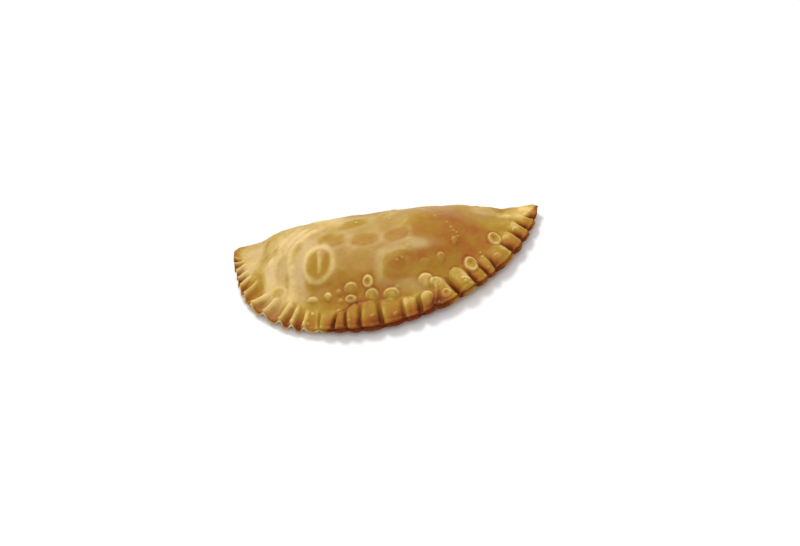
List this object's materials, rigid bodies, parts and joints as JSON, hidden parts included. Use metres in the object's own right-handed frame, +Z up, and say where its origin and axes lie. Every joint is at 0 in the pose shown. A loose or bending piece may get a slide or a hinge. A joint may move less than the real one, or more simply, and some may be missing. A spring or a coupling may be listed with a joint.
{
  "type": "empanada",
  "caption": "Fried half-moon empanada: one disc of dough folded over its filling, with a fork-pressed, crimped rim and blistered golden crust.",
  "frame": {"origin": "under the middle of the piece's box, on the surface that it lies on", "axes": "+X along the fold from tip to tip, -Y towards the crimped arc, +Z up"},
  "size_m": [0.14, 0.0698, 0.0233],
  "materials": {
    "fried_dough": "fried wheat dough, golden with browner patches, oily satin sheen"
  },
  "bodies": {
    "root": {"empanada": "fried_dough"}
  },
  "joints": []
}
